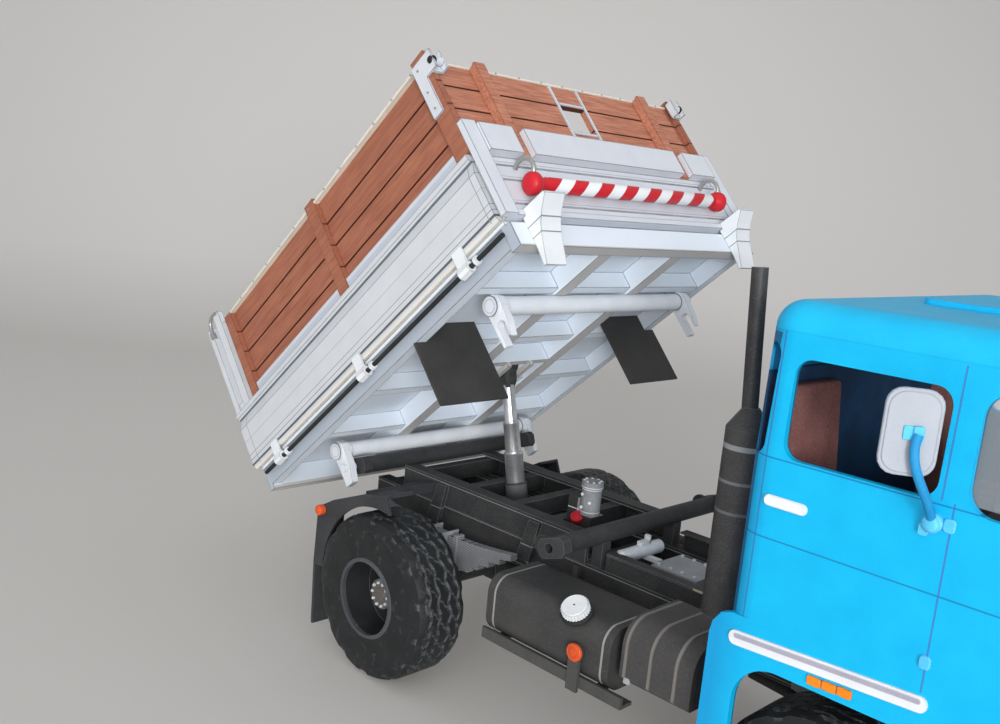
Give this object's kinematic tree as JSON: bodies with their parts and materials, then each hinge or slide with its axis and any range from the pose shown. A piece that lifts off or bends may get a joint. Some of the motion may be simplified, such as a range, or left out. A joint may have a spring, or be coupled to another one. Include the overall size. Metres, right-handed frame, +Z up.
{
  "type": "scale model of a three-way tipper truck",
  "caption": "Card scale model of a forward-control tipper truck with its bed raised to the rear, wooden side boards and a telescopic tipping cylinder.",
  "frame": {"origin": "on the ground plane, midway between the front bumper and the rear edge of the raised bed, on the centre line", "axes": "+X towards the front bumper, +Y to the truck's left, +Z up"},
  "size_m": [0.2436, 0.116, 0.156],
  "materials": {
    "card_white": "matt printed card",
    "card_brown": "matt printed card",
    "card_black": "satin printed card",
    "card_charcoal": "satin printed card",
    "card_grey": "matt printed card",
    "card_blue": "satin printed card",
    "card_tyre": "layered card, matt black",
    "foil": "foil wrapped on card tube",
    "seat_print": "printed speckle",
    "film": "clear film",
    "lamp_print": "gloss printed card"
  },
  "bodies": {
    "chassis": {"air_cylinder": "card_grey", "air_reservoirs": "card_charcoal", "battery_box": "card_charcoal", "cab_body": "card_blue", "cab_floor": "card_blue", "cab_roof": "card_blue", "chassis_frame": "card_black", "dashboard": "card_charcoal", "engine_block": "card_grey", "exhaust_stack": "card_black", "front_axle": "card_black", "front_bumper": "card_charcoal", "fuel_tank": "card_charcoal", "gearbox": "card_grey", "grille": "card_black", "headlamps": "lamp_print", "leaf_springs": "card_grey", "mirrors": "card_white", "oil_canister": "card_grey", "propeller_shafts": "card_black", "rear_axle": "card_black", "rear_mudguards": "card_black", "seats": "seat_print", "side_box": "card_charcoal", "tail_lamps": "lamp_print", "tank_fittings": "card_charcoal", "tip_tubes": "card_black", "tipper_subframe": "card_black", "windscreen": "film"},
    "knuckle_right": {"steering_knuckle_right": "card_black"},
    "knuckle_left": {"steering_knuckle_left": "card_black"},
    "wheel_rear_right": {"rim_rear_right": "card_black", "tyre_rear_right": "card_tyre"},
    "wheel_rear_left": {"rim_rear_left": "card_black", "tyre_rear_left": "card_tyre"},
    "wheel_front_right": {"rim_front_right": "card_black", "tyre_front_right": "card_tyre"},
    "wheel_front_left": {"rim_front_left": "card_black", "tyre_front_left": "card_tyre"},
    "barrel": {"ram_barrel": "card_black"},
    "stage_1": {"ram_stage_1": "foil"},
    "stage_2": {"ram_stage_2": "foil"},
    "rod": {"ram_rod": "foil"},
    "bed": {"bed_floor": "card_white", "bed_tubes": "card_white", "bed_flaps": "card_black", "front_wall": "card_white", "front_boards": "card_brown", "drop_side_right": "card_white", "drop_side_left": "card_white", "side_boards_right": "card_brown", "side_boards_left": "card_brown", "tailgate": "card_white", "tail_boards": "card_brown", "corner_posts": "card_white", "prop_bar": "card_white", "prop_hooks": "card_white", "guide_brackets": "card_white", "hinge_tabs": "card_white", "lock_rods": "card_black"}
  },
  "joints": [
    {"name": "rear_right_wheel_spin", "type": "hinge", "parent": "chassis", "child": "wheel_rear_right", "pos_m": [-0.03671, -0.0393, 0.0215], "axis": [0, 1, 0], "continuous": true},
    {"name": "rear_left_wheel_spin", "type": "hinge", "parent": "chassis", "child": "wheel_rear_left", "pos_m": [-0.03671, 0.0393, 0.0215], "axis": [0, 1, 0], "continuous": true},
    {"name": "front_right_wheel_spin", "type": "hinge", "parent": "knuckle_right", "child": "wheel_front_right", "pos_m": [0.08569, -0.0366, 0.0215], "axis": [0, 1, 0], "continuous": true},
    {"name": "front_left_wheel_spin", "type": "hinge", "parent": "knuckle_left", "child": "wheel_front_left", "pos_m": [0.08569, 0.0366, 0.0215], "axis": [0, 1, 0], "continuous": true},
    {"name": "steering_right", "type": "hinge", "parent": "chassis", "child": "knuckle_right", "pos_m": [0.08569, -0.0304, 0.0215], "axis": [0, 0, 1], "range_deg": [-20, 20]},
    {"name": "steering_left", "type": "hinge", "parent": "chassis", "child": "knuckle_left", "pos_m": [0.08569, 0.0304, 0.0215], "axis": [0, 0, 1], "range_deg": [-20, 20]},
    {"name": "bed_tip", "type": "hinge", "parent": "chassis", "child": "bed", "pos_m": [-0.06211, 0, 0.048], "axis": [0, -1, 0], "range_deg": [-41.2, 0]},
    {"name": "ram_swing", "type": "hinge", "parent": "chassis", "child": "barrel", "pos_m": [-0.02971, 0, 0.036], "axis": [0, -1, 0], "range_deg": [-25.41, 0]},
    {"name": "ram_slide_1", "type": "slide", "parent": "barrel", "child": "stage_1", "axis": [-0.24, 0, 0.9708], "range_m": [-0.00761, 0]},
    {"name": "ram_slide_2", "type": "slide", "parent": "stage_1", "child": "stage_2", "axis": [-0.24, 0, 0.9708], "range_m": [-0.00761, 0]},
    {"name": "ram_slide_3", "type": "slide", "parent": "stage_2", "child": "rod", "axis": [-0.24, 0, 0.9708], "range_m": [-0.00761, 0]}
  ],
  "couplings": [
    {"joint": "steering_left", "follows": "steering_right", "ratio": 1},
    {"joint": "ram_swing", "follows": "bed_tip", "ratio": 0.61675},
    {"joint": "ram_slide_1", "follows": "bed_tip", "m_per_rad": 0.010586},
    {"joint": "ram_slide_2", "follows": "bed_tip", "m_per_rad": 0.010586},
    {"joint": "ram_slide_3", "follows": "bed_tip", "m_per_rad": 0.010586}
  ]
}
